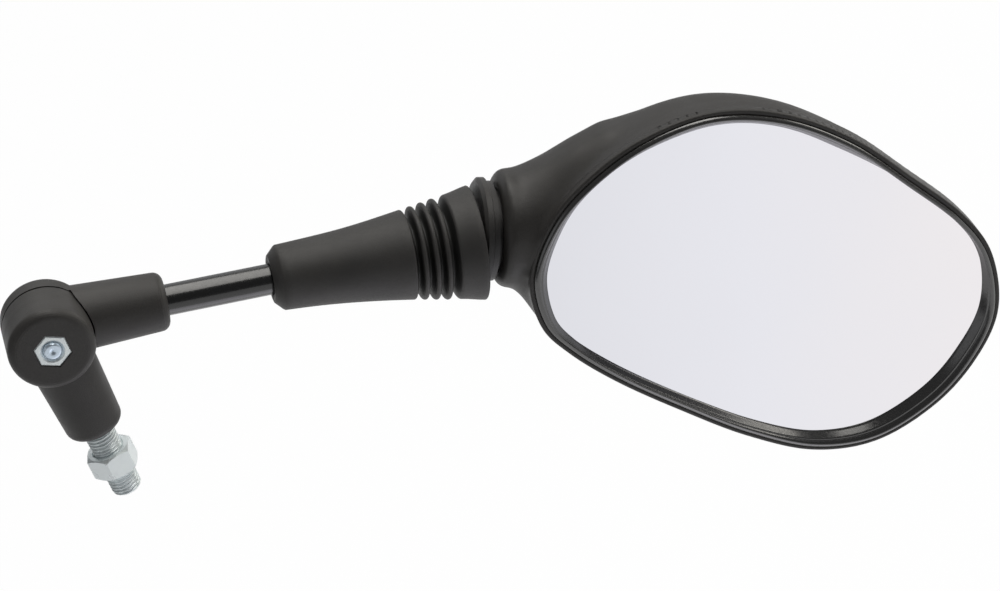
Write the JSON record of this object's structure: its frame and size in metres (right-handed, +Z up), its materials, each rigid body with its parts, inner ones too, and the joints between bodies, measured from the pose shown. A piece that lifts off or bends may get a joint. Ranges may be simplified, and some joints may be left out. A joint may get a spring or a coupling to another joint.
{
  "type": "motorcycle mirror",
  "caption": "Handlebar mirror with a threaded stud, a folding knuckle, a round arm with a rubber boot, and a teardrop head on a ball joint.",
  "frame": {"origin": "on the stud's axis at the lower face of the lock nut, where the nut seats on the handlebar clamp", "axes": "+Z up along the stud into the knuckle, +X towards the mirror head, -Y towards the rider, the side of the glass and the pivot nut"},
  "size_m": [0.3021, 0.0475, 0.1706],
  "materials": {
    "zinc_steel": "zinc plated, lightly brushed",
    "spring_steel": "oiled",
    "black_plastic": "matte, finely grained",
    "housing_plastic": "matte, finely grained",
    "rim_plastic": "satin with a glossy inner lip",
    "friction_fibre": "pressed fibre",
    "black_steel": "gloss black",
    "black_rubber": "matte",
    "acetal": "smooth",
    "mirror": "silvered, gently convex",
    "foam": "closed cell"
  },
  "bodies": {
    "stud_side": {"mounting_stud": "zinc_steel", "lower_knuckle": "black_plastic", "pivot_bolt": "zinc_steel", "pivot_nut": "zinc_steel", "pivot_washer": "zinc_steel", "pivot_spring_washer": "zinc_steel"},
    "jam_nut": {"lock_nut": "zinc_steel"},
    "arm": {"upper_knuckle": "black_plastic", "friction_disc": "friction_fibre", "arm_rod": "black_steel", "boot_sleeve": "black_rubber"},
    "swing_seat": {"front_ball_seat": "acetal"},
    "tilt_seat": {"rear_ball_seat": "acetal"},
    "head": {"ball_cap": "black_plastic", "pressure_cup": "acetal", "disc_springs": "spring_steel", "housing_shell": "housing_plastic", "rim_ring": "rim_plastic", "mirror_glass": "mirror", "glass_pad": "foam", "glass_carrier": "black_plastic", "carrier_screws": "zinc_steel"}
  },
  "joints": [
    {"name": "lock_nut_travel", "type": "slide", "parent": "stud_side", "child": "jam_nut", "axis": [0, 0, 1], "range_m": [-0.004, 0.0085]},
    {"name": "fold", "type": "hinge", "parent": "stud_side", "child": "arm", "pos_m": [0, 0.005, 0.055], "axis": [0, -1, 0], "range_deg": [-1, 185]},
    {"name": "head_swing", "type": "hinge", "parent": "arm", "child": "swing_seat", "pos_m": [0.14744, 0.0059, 0.01605], "axis": [-0.0444, -0.9985, 0.0332], "range_deg": [-3, 18], "deforming": ["boot_sleeve"]},
    {"name": "head_tilt", "type": "hinge", "parent": "swing_seat", "child": "tilt_seat", "pos_m": [0.14744, 0.0059, 0.01605], "axis": [0.4073, 0.0122, 0.9132], "range_deg": [-8, 8]},
    {"name": "head_roll", "type": "hinge", "parent": "tilt_seat", "child": "head", "pos_m": [0.14744, 0.0059, 0.01605], "axis": [0.9122, -0.0541, -0.4061], "continuous": true}
  ]
}
